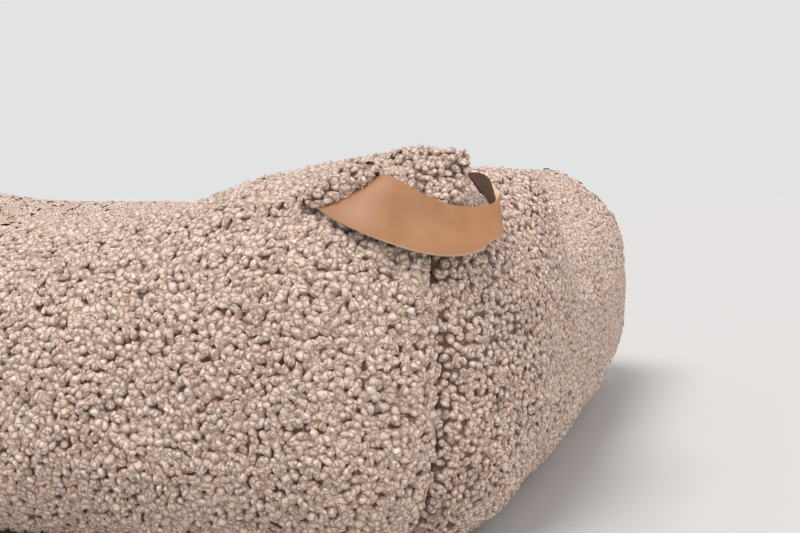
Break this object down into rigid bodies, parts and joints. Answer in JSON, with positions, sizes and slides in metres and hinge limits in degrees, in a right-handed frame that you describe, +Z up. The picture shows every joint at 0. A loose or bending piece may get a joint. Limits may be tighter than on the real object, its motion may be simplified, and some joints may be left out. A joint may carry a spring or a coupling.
{
  "type": "rectangular dog bed",
  "caption": "Rectangular dog bed: curly-pile bolsters mitred into a raised rim round a lying cushion, with a leather carrying loop at one corner.",
  "frame": {"origin": "on the floor, under the middle of the bed", "axes": "+Z up from the floor, +X along the long side, -Y the long side seen in the picture. The loop is at the +X, -Y corner."},
  "size_m": [1.0016, 0.7631, 0.2347],
  "materials": {
    "boucle_pile": "curly boucle pile in nubs of 4 to 7 mm, matt, warm beige",
    "loop_leather": "smooth vegetable-tanned leather, satin, tan, with a pale cut edge"
  },
  "bodies": {
    "root": {"bolster_front": "boucle_pile", "bolster_right": "boucle_pile", "bolster_back": "boucle_pile", "bolster_left": "boucle_pile", "lying_cushion": "boucle_pile", "corner_loop": "loop_leather"}
  },
  "joints": []
}
